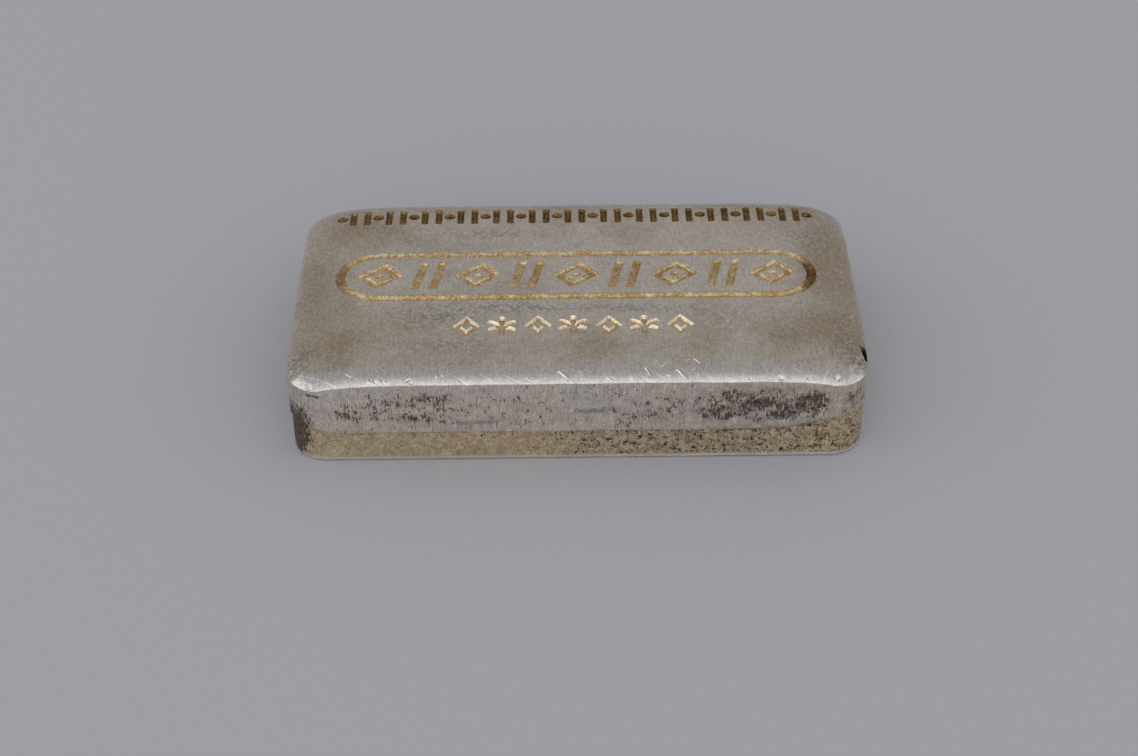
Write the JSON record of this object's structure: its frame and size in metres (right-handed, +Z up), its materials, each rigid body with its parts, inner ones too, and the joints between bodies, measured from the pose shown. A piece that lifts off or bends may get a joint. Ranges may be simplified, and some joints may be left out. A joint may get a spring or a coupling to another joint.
{
  "type": "silver bar",
  "caption": "Small rounded-corner bullion bar with a crowned, stamped top and a flat bottom, for storing or trading fine silver.",
  "frame": {"origin": "middle of the flat bottom face", "axes": "+X along the long side, +Y along the short side away from the row of small punch marks, +Z up through the stamped top"},
  "size_m": [0.0656, 0.0374, 0.0125],
  "materials": {
    "silver": null
  },
  "bodies": {
    "root": {"silver_bar": "silver"}
  },
  "joints": []
}
